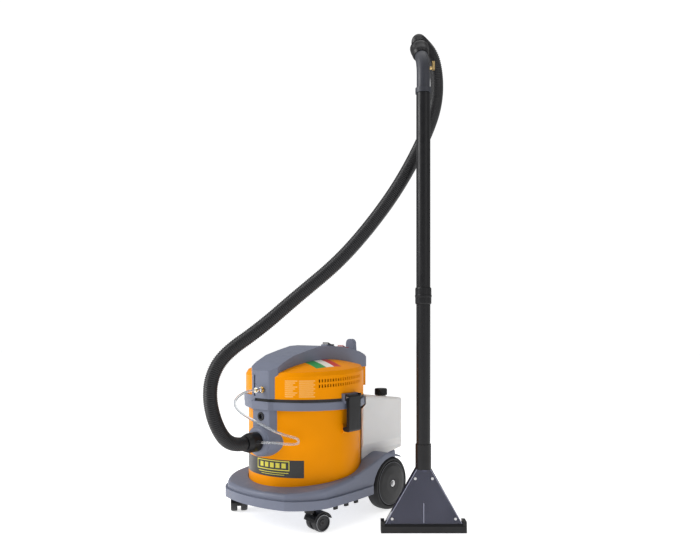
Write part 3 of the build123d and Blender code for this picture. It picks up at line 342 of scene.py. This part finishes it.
tread = plastic("caster_tread", srgb(34, 34, 37), 0.5, grain=800.0, bump=0.2, drift=0.1, scuff=0.6)
tyre = plastic("soft_tyre", srgb(15, 15, 18), 0.62, grain=700.0, bump=0.25, drift=0.1, scuff=0.3)
tank_poly = plastic("tank_polyethylene", srgb(236, 231, 226), 0.42, grain=420.0, bump=0.12, drift=0.02,
                    scuff=0.3, Subsurface_Weight=0.35, Subsurface_Scale=0.02)
tank_poly.shader.inputs["Subsurface Radius"].default_value = (1.0, 0.8, 0.6)


def metal(name, colour, roughness, direction, streaks=0.10):
    """Machined or plated metal with fine turning or drawing marks along one direction."""
    made = Finish(name, Metallic=1.0)
    lines = made.noise(60.0, 4.0, 0.6, made.stretched(direction))
    made.to("Base Color", made.ramp(lines, (0.3, shade(colour, 0.86)), (0.7, shade(colour, 1.06))))
    made.to("Roughness", made.spread(lines, roughness - streaks / 2, roughness + streaks, 0.3, 0.7))
    made.bump(lines, 0.08, 0.0002)
    return made


steel = metal("plain_steel", (0.56, 0.56, 0.57, 1), 0.32, (1, 1, 12))
aluminium = metal("cast_aluminium", (0.66, 0.66, 0.67, 1), 0.42, (2, 2, 2), 0.2)
chrome = metal("plated_chrome", (0.78, 0.78, 0.79, 1), 0.12, (12, 1, 12), 0.04)
brass = metal("turned_brass", (0.70, 0.50, 0.22, 1), 0.26, (8, 1, 8))

clear = Finish("clear_pvc", Roughness=0.08, IOR=1.38, Transmission_Weight=0.75)
clear.to("Base Color", clear.ramp(clear.noise(30.0, 3.0), (0.3, srgb(222, 226, 228)),
                                  (0.7, srgb(240, 242, 243))))
clear.bump(clear.noise(400.0, 2.0), 0.05, 0.0003)

smoke = Finish("smoke_window", Roughness=0.12, IOR=1.4, Transmission_Weight=0.6)
smoke.to("Base Color", smoke.ramp(smoke.noise(12.0, 3.0), (0.3, srgb(72, 74, 98)),
                                  (0.7, srgb(88, 90, 114))))
smoke.bump(smoke.noise(300.0, 3.0), 0.06, 0.0003)

LOOK = {
    "grey_plastic": grey, "yellow_plastic": yellow, "black_plastic": black, "black_gloss": gloss,
    "red_plastic": red, "white_plastic": white, "tank_white": tank_poly, "grip_grey": grip,
    "hose_black": hose_vinyl, "black_rubber": rubber, "caster_tread": tread, "tyre": tyre,
    "clear_pvc": clear, "smoke_clear": smoke, "steel": steel, "aluminium": aluminium,
    "chrome": chrome, "brass": brass,
}


def dress(obj, finish):
    """Give an object one finish on all of its slots."""
    if not obj.material_slots:
        obj.data.materials.append(finish.material)
    for slot in obj.material_slots:
        slot.link = "OBJECT"
        slot.material = finish.material


for part in frame["record"]["subparts"]:
    part_name = part["node"]
    if part_name in NODES:
        dress(NODES[part_name], LOOK[part["material_slot"]])
        NODES[part_name].data.shade_smooth()
        NODES[part_name].data.set_sharp_from_angle(angle=radians(32))

# The collar is a grey ring whose latch bosses, past this distance to either side, are black.
BOSS_REACH = (0.1832, 0.1836)
collar = plastic("collar_two_tone", GREY, 0.42, grain=1100.0, bump=0.22, drift=0.04, scuff=0.15,
                 Specular_IOR_Level=0.35)
position = collar.add("ShaderNodeSeparateXYZ", {
    "Vector": collar.add("ShaderNodeNewGeometry").outputs["Position"]}).outputs["X"]
across = collar.add("ShaderNodeMath", {0: position, 1: at(0, 0, 0).x}, operation="SUBTRACT")
reach = collar.add("ShaderNodeMath", {0: across.outputs["Value"]}, operation="ABSOLUTE")
boss = collar.spread(reach.outputs["Value"], 0.0, 1.0, *BOSS_REACH)
body_colour = collar.shader.inputs["Base Color"].links[0].from_socket
collar.to("Base Color", collar.mix(boss, body_colour, BLACK))
dress(NODES["head_ring"], collar)
dress(vacuum_hose, hose_vinyl)
dress(clear_tube, clear)


# ---------------------------------------------------------------- small pieces
def drum_patch(name, angles, heights, radius, thick, sides=24):
    """A thin plate bent round the tank's axis, between two angles and two heights."""
    a0, a1 = angles
    z0, z1 = heights
    verts = []
    for lift in (0, thick):
        for step in range(sides + 1):
            angle = a0 + (a1 - a0) * step / sides
            verts.append(on_drum(angle, radius + lift, z0))
            verts.append(on_drum(angle, radius + lift, z1))
    back = 2 * (sides + 1)
    faces = []
    for step in range(sides):
        i = 2 * step
        faces.append((i + back, i + 2 + back, i + 3 + back, i + 1 + back))
        faces.append((i + 1, i + 3, i + 2, i))
        faces.append((i, i + 2, i + 2 + back, i + back))
        faces.append((i + 3, i + 1, i + 1 + back, i + 3 + back))
    faces.append((0, back, back + 1, 1))
    end = 2 * sides
    faces.append((end + 1, end + 1 + back, end + back, end))
    return new_piece(name, mesh_of(name, verts, faces), 40)


def joined(name, parts):
    """Several meshes as one object."""
    bm = bmesh.new()
    for part in parts:
        bm.from_mesh(part.data)
        bpy.data.objects.remove(part)
    mesh = bpy.data.meshes.new(name)
    bm.to_mesh(mesh)
    bm.free()
    return new_piece(name, mesh, 40)


def placed(piece, body, finish):
    """Give a piece its finish and slot, and fix it to a body."""
    dress(piece, finish)
    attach(piece, body)


def printed(name, colour, roughness, scuff):
    """Smooth print or foil."""
    return plastic(name, colour, roughness, grain=300.0, bump=0.03, drift=0.05, scuff=scuff)


LABEL_RADIUS = 166.0
label_ink = printed("label_black", srgb(26, 25, 24), 0.35, 0.25)
label_lime = printed("label_yellow", srgb(214, 204, 62), 0.4, 0.25)
pale_ink = printed("pale_print", srgb(250, 205, 120), 0.4, 0.3)
placed(drum_patch("front_label", (-43, 43), (139, 187), LABEL_RADIUS, 0.25), "base", label_ink)

# A frame of four lines, two lines under it and five plain bars inside it.
frame_parts = [
    drum_patch("label_line", angles, heights, LABEL_RADIUS + 0.2, 0.25)
    for angles, heights in (
        ((-9, 29), (182.0, 184.6)), ((-9, 29), (157.5, 160.1)), ((-9, -8.2), (157.5, 184.6)),
        ((28.2, 29), (157.5, 184.6)), ((-7, 28), (150.5, 152.3)), ((-3, 24), (145.0, 146.4)))
]
for bar in range(5):
    bar_angles = (-4.5 + 6.4 * bar, -0.2 + 6.4 * bar)
    frame_parts.append(drum_patch("label_bar", bar_angles, (164.5, 178.0), LABEL_RADIUS + 0.2, 0.25, 6))
placed(joined("label_frame", frame_parts), "base", label_lime)

# Pale lines in two columns in place of the printed notes on the hood.
print_parts = []
for row in range(9):
    row_z = 404.5 - row * 5.4
    for row_angles in ((25.5, 37.0 - 2.0 * (row % 3)), (38.5, 53.0 - 1.5 * (row % 2))):
        print_parts.append(drum_patch("print_row", row_angles, (row_z, row_z + 1.7), 174.03, 0.12, 8))
placed(joined("hood_print", print_parts), "head", pale_ink)

# A slanted striped sticker on the dome, on the sphere the hood is cut by.
DOME_CENTRE = Vector((0, 23.5, -100.2))
DOME_RADIUS = 559.6


def on_dome(x, y, lift):
    """A point of the dome above a layout place, raised by a little."""
    rise = sqrt((DOME_RADIUS + lift) ** 2 - x ** 2 - (y - DOME_CENTRE.y) ** 2)
    return at(x, y, DOME_CENTRE.z + rise)


def dome_patch(name, start, end):
    """The part of the sticker between two fractions of its length."""
    front_near, rear_near = Vector((58, -60)), Vector((60, 33))
    front_far, rear_far = Vector((120, -78)), Vector((143, 0))
    verts = []
    rows, steps = 6, 10
    for lift in (0.05, 0.2):
        for i in range(rows + 1):
            along = start + (end - start) * i / rows
            for j in range(steps + 1):
                near = front_near.lerp(rear_near, along)
                far = front_far.lerp(rear_far, along)
                spot = near.lerp(far, j / steps)
                verts.append(on_dome(spot.x, spot.y, lift))
    layer = (rows + 1) * (steps + 1)
    faces = []
    for i in range(rows):
        for j in range(steps):
            k = i * (steps + 1) + j
            faces.append((k, k + steps + 1, k + steps + 2, k + 1))
            faces.append((layer + k, layer + k + 1, layer + k + steps + 2, layer + k + steps + 1))
    edge = list(range(steps)) + [i * (steps + 1) + steps for i in range(rows)]
    edge += [rows * (steps + 1) + j for j in range(steps, 0, -1)]
    edge += [i * (steps + 1) for i in range(rows, 0, -1)]
    for k, after in zip(edge, edge[1:] + edge[:1]):
        faces.append((k, after, layer + after, layer + k))
    return new_piece(name, mesh_of(name, verts, faces), 40)


sticker_green = printed("sticker_green", srgb(40, 150, 70), 0.35, 0.2)
sticker_white = printed("sticker_white", srgb(238, 232, 220), 0.35, 0.2)
sticker_red = printed("sticker_red", srgb(205, 50, 36), 0.35, 0.2)
placed(dome_patch("sticker_first", 0.0, 0.38), "head", sticker_green)
placed(dome_patch("sticker_middle", 0.38, 0.70), "head", sticker_white)
placed(dome_patch("sticker_last", 0.70, 1.0), "head", sticker_red)


def turned_band(name, centre, axle, profile, sides=64):
    """A closed profile of (along the axle, radius) millimetre pairs turned about an axle."""
    axle = Vector(axle).normalized()
    side = axle.cross(UP).normalized()
    count = len(profile)
    verts, faces = [], []
    for step in range(sides):
        turn = 2 * pi * step / sides
        out = side * cos(turn) + UP * sin(turn)
        verts += [at(*(Vector(centre) + axle * along + out * radius)) for along, radius in profile]
        for k in range(count):
            near, far = step * count, (step + 1) % sides * count
            faces.append((near + k, near + (k + 1) % count, far + (k + 1) % count, far + k))
    return new_piece(name, mesh_of(name, verts, faces), 40)


# Pale wear rings on the faces of the casters, and a raised bead on the rear hubs whose lighter grey is a
# painted highlight on the rim edge.
rim_grey = plastic("rim_grey", srgb(150, 152, 156), 0.5, grain=500.0, bump=0.1, drift=0.05, scuff=0.4)
# Painted highlight: this lighter grey on the rear hub bead stands in for light caught on the wheel's rim edge.
rim_highlight_grey = plastic("hub_bead_grey", srgb(84, 86, 92), 0.45, grain=500.0, bump=0.1, drift=0.05, scuff=0.3)
CASTER_X = 144
CASTER_Y = -131
CASTER_TRAIL = 27
CASTER_RADIUS = 25
REAR_AXLE = (0, 192, 79)
for side, name, yaw in ((-1, "left", radians(51)), (1, "right", radians(-12))):
    centre = (side * CASTER_X - sin(yaw) * CASTER_TRAIL, CASTER_Y + cos(yaw) * CASTER_TRAIL, CASTER_RADIUS)
    for end, label in ((-1, "inner"), (1, "outer")):
        facing = Vector((cos(yaw), sin(yaw), 0)) * (end * side)
        ring = turned_band(f"wear_ring_{name}_{label}", centre, facing,
                           [(24.45, 20.6), (24.7, 20.6), (24.7, 21.9), (24.45, 21.9)])
        placed(ring, f"caster_{name}_{label}_wheel", rim_grey)
    # The rear hub bead carries the painted rim-edge highlight colour.
    highlight_bead = turned_band(f"hub_bead_{name}", REAR_AXLE, (side, 0, 0),
                       [(179.2, 62.6), (180.2, 62.6), (180.2, 64.0), (179.2, 64.0)], 96)
    placed(highlight_bead, f"rear_wheel_{name}", rim_highlight_grey)


def wand_plate(name, corners, front, behind):
    """A flat plate in the wand's frame: (right, up) corners between two depths."""
    count = len(corners)
    verts = [wand_at(right, depth, up) for depth in (front, behind) for right, up in corners]
    faces = [tuple(range(count)), tuple(reversed(range(count, 2 * count)))]
    faces += [(k, count + k, count + (k + 1) % count, (k + 1) % count) for k in range(count)]
    return new_piece(name, mesh_of(name, verts, faces), 30)


# Light edges of the clear floor tool and the rib seen through it.
TOOL_FACE = (-12.2, -11.95)
edge_grey = plastic("edge_grey", srgb(150, 152, 172), 0.3, grain=300.0, bump=0.05, drift=0.05, scuff=0.2)
for side, name in ((-1, "left"), (1, "right")):
    corners = [(side * 103.4, 25), (side * 101.6, 25), (side * 18.2, 169.8), (side * 20, 169.8)]
    strip = wand_plate(f"tool_edge_{name}", corners, *TOOL_FACE)
    placed(strip, "wand", edge_grey)
placed(wand_plate("tool_rib", [(-0.9, 27), (0.9, 27), (0.9, 80), (-0.9, 80)], *TOOL_FACE),
       "wand", edge_grey)

# Raised lip round the front of the collar under the hood.
placed(drum_patch("ring_lip", (-62, -8), (340, 361), 175, 4), "head", grey)


# ---------------------------------------------------------------- floor and light
AMBIENT = 0.36
BACKDROP = 1.05
FLOOR_SIZE = 30.0
CELLS = 24
row_of = CELLS + 1
grid = [(FLOOR_SIZE * (i / CELLS - 0.5), FLOOR_SIZE * (j / CELLS - 0.5), 0.0)
        for j in range(row_of) for i in range(row_of)]
corners_of = [j * row_of + i for j in range(CELLS) for i in range(CELLS)]
quads = [(k, k + 1, k + row_of + 1, k + row_of) for k in corners_of]
ground = new_piece("ground", mesh_of("ground", grid, quads))
ground_look = Finish("white_floor", Roughness=0.9, Specular_IOR_Level=0.1, Emission_Color=(1, 1, 1, 1),
                     Emission_Strength=0.70)
ground_look.to("Base Color", ground_look.ramp(ground_look.noise(3.0, 2.0), (0.3, (0.86, 0.86, 0.86, 1)),
                                              (0.7, (0.88, 0.88, 0.88, 1))))
ground.data.materials.append(ground_look.material)

bpy.context.scene.view_settings.view_transform = "Standard"
world = bpy.data.worlds.new("studio")
world.use_nodes = True
sky = world.node_tree
backdrop = sky.nodes["Background"]
backdrop.inputs["Color"].default_value = (1, 1, 1, 1)
seen = sky.nodes.new("ShaderNodeLightPath").outputs["Is Camera Ray"]
level = sky.nodes.new("ShaderNodeMapRange")
level.inputs["To Min"].default_value = AMBIENT
level.inputs["To Max"].default_value = BACKDROP
sky.links.new(seen, level.inputs["Value"])
sky.links.new(level.outputs["Result"], backdrop.inputs["Strength"])
bpy.context.scene.world = world


def soft_light(name, place, aim, size, power):
    """A rectangular lamp at a place in metres, turned to an aim point."""
    light = bpy.data.lights.new(name, "AREA")
    light.shape = "RECTANGLE"
    light.size, light.size_y = size
    light.energy = power
    obj = bpy.data.objects.new(name, light)
    obj.location = place
    obj.rotation_euler = (Vector(aim) - Vector(place)).to_track_quat("-Z", "Y").to_euler()
    bpy.context.scene.collection.objects.link(obj)


soft_light("key", (-1.9, -2.4, 2.3), (0, 0, 0.5), (1.4, 2.2), 84)
soft_light("fill", (2.9, -0.4, 1.6), (0, 0, 0.4), (1.4, 1.8), 8)
soft_light("top", (0.1, 0.2, 3.2), (0, 0, 0), (2.4, 2.4), 26)
